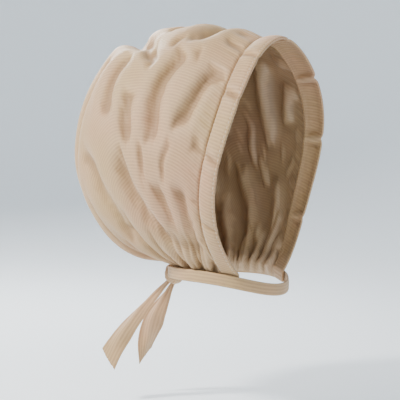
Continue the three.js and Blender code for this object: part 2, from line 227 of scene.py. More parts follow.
def arch_point(foot, top, half_width, slimness, sway, across):
    """Arch from a foot on the left of the neck over the top to its mirror image."""
    foot_x = foot[..., 0]
    widest = np.maximum(half_width, foot_x)
    last = math.pi - np.arcsin(np.clip((foot_x / widest) ** (1 / slimness), 0, 1))
    turn = across * last
    rise = (np.cos(turn) - np.cos(last)) / (1 - np.cos(last))
    side = np.sign(across) * widest * np.abs(np.sin(turn)) ** slimness
    back = mix(foot[..., 1], top[..., 1], rise) + sway * np.sin(2 * math.pi * rise)
    return np.stack([side, back, mix(foot[..., 2], top[..., 2], rise)], axis=-1)


nape = neck_point(180, 0, RING_TOP)
hood_profile = [
    (wide * HOOD_WIDTH / 2, back * HOOD_DEPTH - SEAM_AHEAD, up * HOOD_HEIGHT)
    for back, up, wide in HOOD_SECTIONS
] + [(neck_point(NAPE_ANGLE)[0], nape[1], nape[2])]


def hood_point(along, across):
    """Point of the hood before its folds.

    along is 0 at the seam and 1 at the nape. across is -1 at the neck on the right, 0 on top and 1
    at the neck on the left.
    """
    along, across = np.broadcast_arrays(np.asarray(along, float), np.asarray(across, float))
    section = curve(hood_profile, along)
    foot = neck_point(mix(SEAM_ANGLE, NAPE_ANGLE, along), 0, RING_TOP)
    open_share = 1 - smooth(along, 0, OPEN_REACH)
    slimness = mix(HOOD_SLIMNESS, SEAM_SLIMNESS, open_share)
    return arch_point(foot, section, section[..., 0], slimness, SWAY * open_share, across)


head_top = hood_point(HEAD_TOP_ALONG, 0)
ORIGIN = np.array([0, -head_top[1], HOOD_WALL - head_top[2]])


def crease_depth(points):
    """Depth of the creases at points of the hood before its folds."""
    fold = np.zeros(points.shape[:-1])
    share = np.linspace(0, 1, CREASE_STEPS + 1)[:, None]
    for start, by, end, deep, wide in CREASES:
        start, by, end = (np.array(p) for p in (start, by, end))
        bend = (1 - share) ** 2 * start + 2 * share * (1 - share) * by + share**2 * end
        line = hood_point(bend[:, 0], bend[:, 1])
        near = np.full(points.shape[:-1], 1e9)
        place = np.zeros(points.shape[:-1])
        for i in range(CREASE_STEPS):
            a, d = line[i], line[i + 1] - line[i]
            t = np.clip(((points - a) @ d) / (d @ d), 0, 1)
            away = np.linalg.norm(points - (a + t[..., None] * d), axis=-1)
            closer = away < near
            near = np.where(closer, away, near)
            place = np.where(closer, (i + t) / CREASE_STEPS, place)
        fade = smooth(place, 0, CREASE_FADE) * smooth(1 - place, 0, CREASE_FADE)
        away = (near / (wide * CREASE_HALF)) ** 2
        fold -= CREASE_DEPTH * deep * fade * (1 - 0.5 * away) * np.exp(-0.6 * away)
    return fold


def round_neck(points):
    """Angles of points round the neck from its front, in radians, and their distance from its ring."""
    turn = np.arctan2(points[..., 0], -points[..., 1])
    return turn, np.linalg.norm(neck_point(np.degrees(turn), 0, RING_TOP) - points, axis=-1)


def pleat_depth(points):
    """Depth of the pleats at points of the hood before its folds."""
    turn, away = round_neck(points)
    phase = PLEATS * turn + PLEAT_DRIFT * (np.sin(3 * turn + 0.6) + np.sin(7 * turn + 2))
    reach = PLEAT_REACH * (0.72 + 0.28 * np.sin(2.3 * phase / math.pi + 1))
    fade = (1 - smooth(away / reach, 0, 1)) ** 1.3
    valley = ((1 - np.cos(phase)) / 2) ** 1.3
    return -PLEAT_DEPTH * fade * valley


def grid_normals(points):
    """Unit normals of a grid of points, on the outer side."""
    down = np.gradient(points, axis=0)
    over = np.gradient(points, axis=1)
    return unit(np.cross(over, down))


def add_object(name, data):
    added = bpy.data.objects.new(name, data)
    bpy.context.scene.collection.objects.link(added)
    return added


def make_mesh(name, points, faces, weave):
    """Mesh object from points in millimetres, measured from the neck ring's centre."""
    mesh = bpy.data.meshes.new(name)
    places = (np.asarray(points) + ORIGIN) * MM
    mesh.from_pydata(places.tolist(), [], [list(map(int, f)) for f in faces])
    mesh.update()
    mesh.polygons.foreach_set("use_smooth", np.ones(len(mesh.polygons), bool))
    made = mesh.attributes.new("weave", "FLOAT_VECTOR", "POINT")
    made.data.foreach_set("vector", np.asarray(weave, np.float32).ravel())
    return add_object(name, mesh)


def sheet_faces(rows, columns):
    """Faces of a closed sheet between two grids of points: its outer side, inner side and edge."""
    count = rows * columns
    index = np.arange(count).reshape(rows, columns)
    a = index[:-1, :-1].ravel()
    outer = np.stack([a, a + 1, a + columns + 1, a + columns], axis=1)
    rim = np.concatenate([index[0, :-1], index[:-1, -1], index[-1, :0:-1], index[:0:-1, 0]])
    after = np.roll(rim, -1)
    edge = np.stack([after, rim, rim + count, after + count], axis=1)
    return outer, outer[:, ::-1] + count, edge


def sheet_piece(name, outer, inner, weave, inner_weave):
    """Closed sheet between two grids of points.

    A weave says where each point is in the knit, in millimetres on two axes, and how hollow the
    cloth is there, which the knit's colour takes for painted shade.
    """
    points = np.concatenate([outer.reshape(-1, 3), inner.reshape(-1, 3)])
    cloth = np.concatenate([weave.reshape(-1, 3), inner_weave.reshape(-1, 3)])
    return make_mesh(name, points, np.concatenate(sheet_faces(*outer.shape[:2])), cloth)


WALL_CALM = 0.5  # how much a wall goes through the smooth form and not straight through its folds
WALL_STEEPEST = 0.6  # least share of a wall's slanted line that counts as its thickness


def cloth_piece(name, outer, normals, wall, weave, edge):
    """Closed sheet on a grid of outer points, whose wall follows the given normals at its edge."""
    facing = np.where(edge[..., None], normals, grid_normals(outer))
    through = unit(facing + WALL_CALM * normals)
    slope = np.clip((through * facing).sum(-1, keepdims=True), WALL_STEEPEST, 1)
    inner = outer - through * wall / slope
    # a hollow on one side is a ridge on the other, for the painted shade and highlight on each side
    return sheet_piece(name, outer, inner, weave, weave * (1, 1, -1))


def wander(a, b, seed):
    """Smooth uneven value about 0, between -1 and 1, at places a and b in waves."""
    total = 0
    for i in range(4):
        k = seed * 1.37 + i * 2.11
        total = total + np.sin(a * (1 + 0.61 * i) + k * 3.1 + 1.3 * np.sin(b * (0.9 + 0.37 * i) + k))
    return total / 4


# Slack of the hood's cloth, which settles like a net of springs on finer and finer grids
SLACK_LEVELS = ((56, 64, 260), (112, 128, 140), (196, 212, 50))  # rows, columns and rounds
SLACK_ROUND = 0.09  # extra cloth round the head, as a share
SLACK_EASED = 0.03  # more of it beside the seam, where it is eased onto the face band
EASED_ALONG = 0.2  # share of the hood over which that ends
SLACK_UP = 0.01  # extra cloth from the neck up and over the head
SLACK_LIFT = 0.01  # millimetres that each round lifts the cloth
SLACK_OUT = 1.2  # millimetres that a point may move out
SLACK_IN = 9  # and in or along the cloth
SLACK_EVENED = 2  # rounds that take out single pits
# how hollow the cloth is, which sets the painted shade in its folds and the painted highlight on its
# ridges
HOLLOW_ROUNDS = 24  # how far round it a point is compared with its surroundings
HOLLOW_SCALE = 0.8  # and the millimetres below them that count as hollow
FOLD_HOLD = 0.03  # how firmly the laid folds are kept in place
FOLD_HELD = (1.5, 5)  # from the first of these depths, and fully at the second
STIR = 0.15  # millimetres of unevenness that start the buckling
STIR_WAVE = 9
STIR_WAVE_UP = 13
STIR_SEED = 8
# springs: the axis they run along, how many points they span, their slant, and their stiffness
# where they run up the head and where they run round it
SPRINGS = (
    (1, 1, 0, 0.9, 0.9),
    (0, 1, 0, 0.9, 0.9),
    (0, 1, 1, 0.35, 0.35),
    (0, 1, -1, 0.35, 0.35),
    (0, 2, 0, 0.35, 0.1),
    (1, 2, 0, 0.35, 0.1),
    (0, 4, 0, 0.28, 0.04),
    (1, 4, 0, 0.28, 0.04),
)


def spring_ends(shape, axis, step, slant, turn):
    """Places in a grid of the springs' two ends. No point has two springs in the same turn."""
    index = np.arange(shape[axis] - step)
    first = index[(index // step) % 2 == turn]
    start, end = [slice(None)] * 2, [slice(None)] * 2
    start[axis], end[axis] = first, first + step
    if slant:
        start[1 - axis], end[1 - axis] = slice(None, -1), slice(1, None)
        if slant < 0:
            start[1 - axis], end[1 - axis] = end[1 - axis], start[1 - axis]
    return tuple(start), tuple(end)


def settle(points, laid, growth, turned, loose, hold, rounds):
    """Positions of a grid of cloth, laid in its form, once its slack has buckled into folds.

    growth is the extra cloth along each axis of the grid, and turned is 1 where the axis runs round
    the head and 0 where it runs up it. loose is 0 at fixed points.
    """
    normals = grid_normals(laid)
    springs = []
    for axis, step, slant, upright, level in SPRINGS:
        for turn in (0, 1):
            start, end = spring_ends(loose.shape, axis, step, slant, turn)
            length = np.linalg.norm(laid[end] - laid[start], axis=-1)
            longer = growth[axis][start] if not slant else (growth[0] + growth[1])[start] / 2
            stiffness = mix(upright, level, turned[axis][start])
            share = stiffness / np.maximum(loose[start] + loose[end], 1e-9)
            springs.append((start, end, length * (1 + longer), share * loose[start], share * loose[end]))
    for _ in range(rounds):
        for start, end, rest, pull, push in springs:
            between = points[end] - points[start]
            length = np.sqrt((between**2).sum(-1))
            between *= ((length - rest) / length)[..., None]
            points[start] += between * pull[..., None]
            points[end] -= between * push[..., None]
        moved = (points - laid) * (1 - hold)[..., None]
        far = np.linalg.norm(moved, axis=-1, keepdims=True)
        moved *= np.minimum(1, SLACK_IN / np.maximum(far, 1e-9))
        out = (moved * normals).sum(-1) + SLACK_LIFT * loose
        moved += normals * (SLACK_LIFT * loose - np.maximum(out - SLACK_OUT, 0))[..., None]
        points = laid + moved
    return points


def evened(field):
    """Field on a grid with each inner value halfway to the mean of its four neighbours."""
    near = (field[:-2, 1:-1] + field[2:, 1:-1] + field[1:-1, :-2] + field[1:-1, 2:]) / 4
    even = field.copy()
    even[1:-1, 1:-1] = (field[1:-1, 1:-1] + near) / 2
    return even


def hollows(outer, normals):
    """How hollow the cloth is, from -1 on a ridge to 1 in a fold: its painted shade and highlight."""
    even = outer
    for _ in range(HOLLOW_ROUNDS):
        even = evened(even)
    return np.tanh(((even - outer) * normals).sum(-1) / HOLLOW_SCALE)


def spread(values, places):
    """Values of a row of evenly spaced ones at places from 0 to 1, along a smooth curve."""
    last = len(values) - 1
    place = np.clip(places, 0, 1) * last
    start = np.minimum(place.astype(int), last - 1)
    t = (place - start).reshape(-1, *[1] * (values.ndim - 1))
    a, b, c, d = (values[np.clip(start + i, 0, last)] for i in (-1, 0, 1, 2))
    return b + 0.5 * t * (c - a + t * (2 * a - 5 * b + 4 * c - d + t * (3 * (b - c) + d - a)))


# Hood
HOOD_ROWS = 196
HOOD_COLUMNS = 212
HEM_STEPS = 3
HOOD_CLOTH_WALL = 1.2
HOOD_LENGTH = 430  # from the seam over the top to the nape
ROW_CROWDING = 1.25  # rows lie closer near the seam
SEAM_DIP = 1.3  # how far the cloth turns in at the seam
SEAM_TURN = 2.6  # and over what length
EASED_DEPTH = 0.55  # small gathers beside the seam
EASED_START = 0.01  # shares of the hood over which they set in
EASED_REACH = 0.05  # and fade
EASED_WAVE = 1.2
EASED_DRIFT = 2
EASED_DRIFT_WAVE = 9
WELD_REACH = 0.6  # points nearer to each other than this are joined at the hem's corners
GATHER_RISE = 40  # degrees over which the gathers below set in
# gathers besides the pleats: how many round the neck, their drift, depth and reach, and how far
# round the neck from its front they start, in degrees
GATHERS = (
    (61, 2.4, 2.0, 42, 0),
    (43, 2.1, 2.4, 95, 95),
    (23, 1.6, 4.5, 165, 100),
)


def with_hem(places, low, high):
    """Places with more of them at each end that has a hem, low or high, and the hem's share there."""
    hem = np.arange(1, HEM_STEPS + 1) / HEM_STEPS
    before = np.full(HEM_STEPS if low else 0, places[0])
    after = np.full(HEM_STEPS if high else 0, places[-1])
    depth = np.concatenate([hem[::-1][: len(before)], 0 * places, hem[: len(after)]])
    return np.concatenate([before, places, after]), depth


def gathers(points):
    """Depth of the gathers that run up from the ribbon between the pleats."""
    turn, away = round_neck(points)
    depth = 0
    for count, drift, deep, reach, start in GATHERS:
        phase = count * turn + drift * (np.sin(5 * turn + 1) + 0.5 * np.sin(13 * turn))
        far = reach * (0.7 + 0.3 * np.sin(0.54 * phase + 2))
        behind = smooth(np.degrees(np.abs(turn)), start, start + GATHER_RISE)
        depth = depth - deep * behind * np.exp(-((away / far) ** 2)) * (1 - np.cos(phase)) / 2
    return depth


def hood_fold(base, along):
    """Depth of the folds that are laid in the hood, which fade out at the seam."""
    fold = crease_depth(base) + pleat_depth(base) + gathers(base)
    return fold * smooth(along, 0, SEAM_CALM)


def hood_slack():
    """How far the settled cloth lies from its folds as they are laid, on a grid over the hood."""
    moved = np.zeros((2, 2, 3))
    for rows, columns, rounds in SLACK_LEVELS:
        along, across = np.linspace(0, 1, rows + 1), np.linspace(-1, 1, columns + 1)
        moved = spread(moved, along).swapaxes(0, 1)
        moved = spread(moved, (across + 1) / 2).swapaxes(0, 1)
        along, across = np.meshgrid(along, across, indexing="ij")
        base = hood_point(along, across)
        normals = grid_normals(base)
        fold = hood_fold(base, along)
        laid = base + normals * fold[..., None]
        loose = ((along > 0) & (along < 1) & (np.abs(across) < 1)).astype(float)
        x, y, z = np.moveaxis(base, -1, 0)
        stir = STIR * wander(x / STIR_WAVE, y / STIR_WAVE + z / STIR_WAVE_UP, STIR_SEED)
        start = laid + moved + normals * (stir * loose)[..., None]
        # how far each axis of the grid runs round the head: on top, the folds run from side to side
        down, over = (unit(np.gradient(base, axis=axis))[..., 2] for axis in (0, 1))
        turned = 1 - down**2, (1 - over**2) * (1 - normals[..., 2] ** 2)
        growth = [SLACK_UP + SLACK_ROUND * share for share in turned]
        growth[1] = growth[1] + SLACK_EASED * (1 - smooth(along, 0, EASED_ALONG))
        hold = FOLD_HOLD * smooth(-fold, *FOLD_HELD)
        moved = settle(start, laid, growth, turned, loose, hold, rounds) - laid
        for _ in range(SLACK_EVENED):
            moved = evened(moved)
    return moved


def ring_normals(points):
    """Level directions out of the neck ring at points near it."""
    side = points[..., 0] / (NECK_WIDTH / 2) ** 2
    back = points[..., 1] / (NECK_DEPTH / 2) ** 2
    return unit(np.stack([side, back, 0 * back], axis=-1))


def weld_hem_corners(piece, rows, columns):
    """Joins the points that fall together at the nape, where the hem turns a corner on each side."""
    index = np.arange(rows * columns).reshape(rows, columns)[-HEM_STEPS - 1 :]
    outer = [*index[:, : HEM_STEPS + 1].ravel(), *index[:, -HEM_STEPS - 1 :].ravel()]
    solid = bmesh.new()
    solid.from_mesh(piece.data)
    solid.verts.ensure_lookup_table()
    corners = [solid.verts[i + side] for i in outer for side in (0, rows * columns)]
    bmesh.ops.remove_doubles(solid, verts=corners, dist=WELD_REACH * MM)
    solid.to_mesh(piece.data)
    solid.free()


def build_hood():
    """Gathered hood: its smooth form with the laid folds, the settled slack and the hems."""
    along, low = with_hem(np.linspace(0, 1, HOOD_ROWS + 1) ** ROW_CROWDING, False, True)
    across, side = with_hem(np.linspace(-1, 1, HOOD_COLUMNS + 1), True, True)
    along, across = along[:, None], across[None, :]
    hem = np.maximum(low[:, None], side[None, :])
    base = hood_point(along, across)
    fold = hood_fold(base, along) * mix(1, PRESSED_DEPTH / PLEAT_DEPTH, np.minimum(hem, 1))
    base[..., 2] -= HEM * hem
    slack = spread(hood_slack(), along.ravel()).swapaxes(0, 1)
    slack = spread(slack, (across.ravel() + 1) / 2).swapaxes(0, 1) * (hem == 0)[..., None]
    edge = (along == 1) | (np.abs(across) == 1)
    normals = np.where(edge[..., None], ring_normals(base), grid_normals(base))
    step = np.linalg.norm(np.diff(base, axis=1), axis=-1)
    over = np.concatenate([np.zeros((len(base), 1)), np.cumsum(step, axis=1)], axis=1)
    over = over - over[:, over.shape[1] // 2][:, None]
    # small gathers where the hood is eased onto the band, and the turned edge itself
    eased = EASED_DEPTH * smooth(along, 0, EASED_START) * np.exp(-((along / EASED_REACH) ** 2))
    drift = EASED_DRIFT * wander(over / EASED_DRIFT_WAVE, 0 * over, 3)
    fold = fold - eased * (hem == 0) * (1 + np.sin(over / EASED_WAVE + drift))
    fold = fold - SEAM_DIP * np.exp(-((along * HOOD_LENGTH / SEAM_TURN) ** 2)) * (hem == 0)
    outer = base + normals * fold[..., None] + slack
    lengths = np.broadcast_to(along * HOOD_LENGTH, over.shape)
    weave = np.stack([lengths, over, hollows(outer, normals)], axis=-1)
    piece = cloth_piece("hood_cloth", outer, normals, HOOD_CLOTH_WALL, weave, edge)
    # the inner side has the second material
    counts = [len(faces) for faces in sheet_faces(*outer.shape[:2])]
    piece.data.polygons.foreach_set("material_index", np.repeat([0, 1, 0], counts).astype(np.int32))
    weld_hem_corners(piece, *outer.shape[:2])
    return piece


# Face band
BAND_ROWS = 420
BAND_COLUMNS = 18
BAND_CLOTH_WALL = 2.2
BAND_WIDTH = 21
BAND_CALM = 0.15  # share of the band at the neck over which it lies flat
STITCH_ROWS = (0.12, 0.88)
PINCH_WIDTH = 0.0095  # half a pucker's width, as a share of half the band's length
PINCH_DEPTH = 4.4
PINCH_PULL = 0.13  # how far a pucker pulls in the band's front edge, as a share of its width
PULL_FROM = 0.3  # where across the band that starts
PINCH_SLANT = 0.014
PINCH_POWER = 1.4
RIDGE_AWAY = 2.4  # ridges beside a pucker, in half widths of it
RIDGE_WIDTH = 1.1
RIDGE_LIFT = 0.8
BAND_FULLNESS = 0.7  # less makes the tube fuller
RIPPLES = 268  # small ripples: radians over half the band's length
RIPPLE_DEPTH = 0.35
RIPPLE_STRAY = 2.2
RIPPLE_STRAY_WAVES = 30
RIPPLE_PATCHES = 14
RIPPLE_LEAST = 0.35  # what is left of the ripples between their patches
GROOVE_DEPTH = 0.55  # stitched groove beside each edge
GROOVE_WIDTH = 0.035
SEAM_DIP_WIDTH = 0.06


def band_point(across, share, hem=0.0):
    """Point of the face band before it is puffed: share is 0 at the hood's seam, 1 at the face."""
    seam = hood_point(0.0, across)
    foot = neck_point(BAND_FRONT_ANGLE, 0, RING_TOP)
    top = np.array([0, -BAND_AHEAD, BAND_TOP])
    front = arch_point(foot, top, BAND_SPAN / 2, SEAM_SLIMNESS, SWAY, across)
    under = SEAM_UNDER / np.linalg.norm(front - seam, axis=-1, keepdims=True)
    point = mix(seam, front, mix(-under, 1, share))
    point[..., 2] -= HEM * hem
    return point


def band_pinch(across, share):
    """Share of a pucker's depth at places of the band, and the low ridges on its two sides."""
    pinch, ridge = 0, 0
    for place, deep in PUCKERS:
        away = np.abs(across - place + PINCH_SLANT * (share - 0.5)) / PINCH_WIDTH
        pinch = pinch + deep * np.exp(-(away**PINCH_POWER))
        ridge = ridge + deep * np.exp(-(((away - RIDGE_AWAY) / RIDGE_WIDTH) ** 2))
    return pinch, ridge


def band_puff(across, share):
    """How far the band's cloth stands out: a soft tube, nipped in at its puckers and stitched edges."""
    ends = smooth(1 - np.abs(across), 0, BAND_CALM)
    tube = np.sin(math.pi * share) ** BAND_FULLNESS
    pinch, ridge = band_pinch(across, share)
    puff = tube * (BAND_CROWN - PINCH_DEPTH * pinch + RIDGE_LIFT * ridge)
    stray = RIPPLE_STRAY * wander(across * RIPPLE_STRAY_WAVES, share * 2, 5)
    ripple = np.sin(across * RIPPLES + stray)
    ripple = ripple * mix(RIPPLE_LEAST, 1, wander(across * RIPPLE_PATCHES, share, 2) ** 2)
    puff = puff + RIPPLE_DEPTH * ripple * np.sin(math.pi * share) ** 0.5
    for edge in STITCH_ROWS:
        puff = puff - GROOVE_DEPTH * np.exp(-(((share - edge) / GROOVE_WIDTH) ** 2))
    return puff * ends - SEAM_DIP * np.exp(-((share / SEAM_DIP_WIDTH) ** 2))


def build_band():
    """Puffed band along the face, with a hem at each end."""
    across, hem = with_hem(np.linspace(-1, 1, BAND_ROWS + 1), True, True)
    share = np.linspace(0, 1, BAND_COLUMNS + 1)
    across, share, hem = across[:, None], share[None, :], hem[:, None]
    grid_across = np.repeat(across, BAND_COLUMNS + 1, axis=1)
    grid_share = np.repeat(share, len(across), axis=0)
    hem = np.repeat(hem, BAND_COLUMNS + 1, axis=1)
    pulled = PINCH_PULL * band_pinch(grid_across, grid_share)[0] * smooth(grid_share, PULL_FROM, 1)
    base = band_point(grid_across, (grid_share - pulled)[..., None], hem)
    normals = grid_normals(base)
    outer = base + normals * (band_puff(grid_across, grid_share) * (hem == 0))[..., None]
    middle = base[:, BAND_COLUMNS // 2]
    step = np.linalg.norm(np.diff(middle, axis=0), axis=-1)
    length = np.concatenate([[0], np.cumsum(step)])[:, None] * np.ones_like(grid_share)
    weave = np.stack([grid_share * BAND_WIDTH, length, hollows(outer, normals)], axis=-1)
    return cloth_piece("band_cloth", outer, normals, BAND_CLOTH_WALL, weave, hem > 0)


# Stitches
STITCH_LENGTH = 3.0
STITCH_PITCH = 4.2
STITCH_THICK = 0.65
STITCH_FLATNESS = 1.3  # width over height
STITCH_LIFT = 0.12
STITCH_SAG = 0.35  # how far the ends sink into the cloth
STITCH_SIDES = 6
STITCH_REACH = 0.985  # share of the band that is stitched
STITCH_SAMPLES = 1600
BESIDE = 0.02  # small step across the band
# places along a stitch and how thick it is there, as shares
STITCH_RINGS = ((-0.5, 0.25), (-0.3, 0.9), (0, 1), (0.3, 0.9), (0.5, 0.25))


def stitch_line(share):
    """Line of places along the band, the ways along it and out of the cloth, and its length."""
    fine = np.linspace(-STITCH_REACH, STITCH_REACH, STITCH_SAMPLES)
    line = band_point(fine, np.full((STITCH_SAMPLES, 1), share))
    beside = band_point(fine, np.full((STITCH_SAMPLES, 1), share + BESIDE))
    ahead = unit(np.gradient(line, axis=0))
    out = unit(np.cross(unit(beside - line), ahead))
    line = line + out * (band_puff(fine, share)[:, None] + STITCH_LIFT)
    length = np.concatenate([[0], np.cumsum(np.linalg.norm(np.diff(line, axis=0), axis=1))])
    return line, ahead, out, length


def build_stitches():
    """Rows of short stitches along both edges of the face band."""
    points, faces, weave = [], [], []
    turns = np.arange(STITCH_SIDES) * 2 * math.pi / STITCH_SIDES
    last = (len(STITCH_RINGS) - 1) * STITCH_SIDES
    for share in STITCH_ROWS:
        *lines, length = stitch_line(share)
        for middle in np.arange(2, length[-1] - 2, STITCH_PITCH):
            at, way, up = (
                np.array([np.interp(middle, length, line[:, k]) for k in range(3)]) for line in lines
            )
            way, up = unit(way), unit(up)
            side = np.cross(way, up)
            first = len(points)
            for place, size in STITCH_RINGS:
                for turn in turns:
                    radius = STITCH_THICK / 2 * size
                    ring = side * np.cos(turn) * radius * STITCH_FLATNESS + up * np.sin(turn) * radius
                    points.append(at + way * place * STITCH_LENGTH + ring - up * abs(place) * STITCH_SAG)
                    weave.append((middle, turn, 0))
            for a in range(first, first + last, STITCH_SIDES):
                for i in range(STITCH_SIDES):
                    b = a + (i + 1) % STITCH_SIDES
                    faces.append((a + i, a + i + STITCH_SIDES, b + STITCH_SIDES, b))
            faces.append(tuple(first + i for i in range(STITCH_SIDES)))
            faces.append(tuple(first + last + i for i in range(STITCH_SIDES - 1, -1, -1)))
    return make_mesh("band_stitches", points, faces, weave)


EDGE_SQUARENESS = 10


def strip_sides(middle, over, normal, width, lift, thick, least):
    """Middle surface of a strip, and half its wall, which is rounded off at both edges.

    over and normal are its directions, lift bends it, and least is what is left of the wall's
    square at the very edge.
    """
    lane = np.linspace(-0.5, 0.5, lift.shape[1])
    surface = middle + over * (width * lane)[..., None] + normal * lift[..., None]
    rounding = np.sqrt(np.clip(1 - (np.abs(lane) * 2) ** EDGE_SQUARENESS, least, 1))
    return surface, normal * (thick / 2 * rounding)[:, None]


# Ribbon round the neck
RIBBON_STEPS = 420
RIBBON_LANES = 15
RIBBON_THICK = 1.3
RIBBON_EDGE = 0.12  # what is left of its wall's square at the very edge
RIBBON_NEAR = (20, 2)  # degrees before its end between which it rises and narrows to the knot
RIBBON_FOLDS = 3
RIBBON_FOLD_DEPTH = 0.5
RIBBON_RIPPLE = 0.16
RIBBON_RIPPLE_WAVE = 6
RIBBON_RIPPLES_OVER = 5
RIBBON_CROWN = 0.25


def build_ribbon():
    """Ribbon from one side of the knot round the neck to the other."""
    angle = np.linspace(-KNOT_ANGLE, KNOT_ANGLE, RIBBON_STEPS + 1)
    near = smooth(np.abs(angle), *(KNOT_ANGLE - before for before in RIBBON_NEAR))
    out = CLEARANCE + RIBBON_LIFT * near + RIBBON_WALL / 2
    middle = neck_point(angle, out, -RIBBON_SINK * near)
    ahead = unit(np.gradient(middle, axis=0))
    over = np.tile(np.array([0, 0, 1.0]), (len(angle), 1))
    normal = unit(np.cross(ahead, over))
    over = np.cross(normal, ahead)
    width = mix(RIBBON_WIDTH, RIBBON_AT_KNOT, near)
    lane = np.linspace(-0.5, 0.5, RIBBON_LANES)[None, :]
    along = np.radians(angle)[:, None] * NECK_WIDTH / 2
    gather = near[:, None] * RIBBON_FOLD_DEPTH * np.cos(lane * 2 * math.pi * RIBBON_FOLDS)
    ripple = RIBBON_RIPPLE * wander(along / RIBBON_RIPPLE_WAVE, lane * RIBBON_RIPPLES_OVER, 4)
    crown = RIBBON_CROWN * np.cos(lane * math.pi)
    lift = gather + (ripple + crown) * (1 - near[:, None])
    sides = (middle[:, None], over[:, None], normal[:, None], width[:, None])
    surface, half = strip_sides(*sides, lift, RIBBON_THICK, RIBBON_EDGE)
    step = np.linalg.norm(np.diff(middle, axis=0), axis=-1)
    length = np.concatenate([[0], np.cumsum(step)])[:, None] * np.ones((1, RIBBON_LANES))
    weave = np.stack([length, lane * RIBBON_WIDTH + 0 * length, 0 * length], axis=-1)
    return sheet_piece("neck_ribbon_cloth", surface + half, surface - half, weave, weave)


# Free ends
knot_place = neck_point(180, KNOT_BEHIND, -KNOT_BELOW)
long_root = knot_place + np.array([-KNOT_WIDTH / 8, 0, -KNOT_HEIGHT / 5])
short_root = knot_place + np.array([KNOT_WIDTH / 6, 0, -KNOT_HEIGHT / 5])
END_STEPS = 150
END_LANES = 25
END_THICK = 1.1
END_EDGE = 0.15
END_CURL = 0.16  # how far their edges curl, as a share of the width
CURL_LEFT = 0.2  # what is left of it at the cut
# shares of the length over which the curl sets in and fades, and the soft waves set in
CURL_START = (0.05, 0.3)
CURL_FADE = (0.65, 0.95)
WAVE_START = (0.1, 0.5)
FRAY = 0.004  # how uneven the cut is, as a share of the length
FRAY_WAVES = 20
KNOT_FOLDS = 3.5  # folds that come out of the knot
KNOT_FOLD_DEPTH = 1.5
KNOT_FOLD_FADE = 0.3
END_WAVE = 0.7
END_WAVES = 9
END_WAVES_OVER = 2.6


def build_end(name, root, length, table, cut, seed):
    """Free end that follows its table of sections, with its tip cut at a slant."""
    share = np.linspace(0, 1, END_STEPS + 1)
    table = np.array(table)
    way = table[:, :3] * [1, 1, -1] * length + root
    shape = np.stack([table[:, 3] * END_WIDTH, table[:, 4], 0 * table[:, 4]], axis=1)
    lane = np.linspace(-0.5, 0.5, END_LANES)
    grid = share[:, None] * (1 - abs(cut) / 2 + cut * lane[None, :])
    # the cut edge is a little uneven
    grid = grid * (1 - FRAY * (1 + wander(lane * FRAY_WAVES, 0 * lane, seed))[None, :])
    look = curve(shape, grid)
    facing_turn = np.radians(look[..., 1])
    facing = np.stack([-np.sin(facing_turn), np.cos(facing_turn), 0 * facing_turn], axis=-1)
    small = 1e-4
    ahead = unit(curve(way, grid + small) - curve(way, grid - small))
    over = unit(np.cross(ahead, facing))
    normal = np.cross(over, ahead)
    width = look[..., 0]
    middle = curve(way, grid)
    curl = END_CURL * width * np.cos(2 * math.pi * lane)[None, :]
    curl = curl * smooth(grid, *CURL_START) * (1 - (1 - CURL_LEFT) * smooth(grid, *CURL_FADE))
    fold = np.cos(lane * 2 * math.pi * KNOT_FOLDS + 0.8)[None, :]
    pinch = KNOT_FOLD_DEPTH * np.exp(-grid / KNOT_FOLD_FADE) * fold
    soft = END_WAVE * wander(grid * END_WAVES, lane[None, :] * END_WAVES_OVER + grid, seed)
    lift = curl + pinch + soft * smooth(grid, *WAVE_START)
    surface, half = strip_sides(middle, over, normal, width, lift, END_THICK, END_EDGE)
    across = lane[None, :] * END_WIDTH + 0 * grid
    weave = np.stack([grid * length, across, hollows(surface, normal)], axis=-1)
    return sheet_piece(name, surface + half, surface - half, weave, weave)


# Knot
KNOT_RINGS = 110
KNOT_SPOKES = 72
KNOT_FULLNESS = 0.85  # 1 for an ellipsoid, less for a fuller form
KNOT_SLANT = 0.25
WRAP_REACH = (0.36, 0.52)  # where the turn over its middle ends, as shares of half its width
WRAP_LIFT = 1.3
WRAP_TURNS = 26
WRAP_TURN_DEPTH = 0.28
WRAP_GROOVE = (0.47, 0.06, 0.9)  # the groove beside it: where, how wide and how deep
KNOT_CREASES = 7
KNOT_CREASE_DEPTH = 0.42
KNOT_KNIT = 12, 8  # millimetres of knit to half the knot's width, and to a radian round it


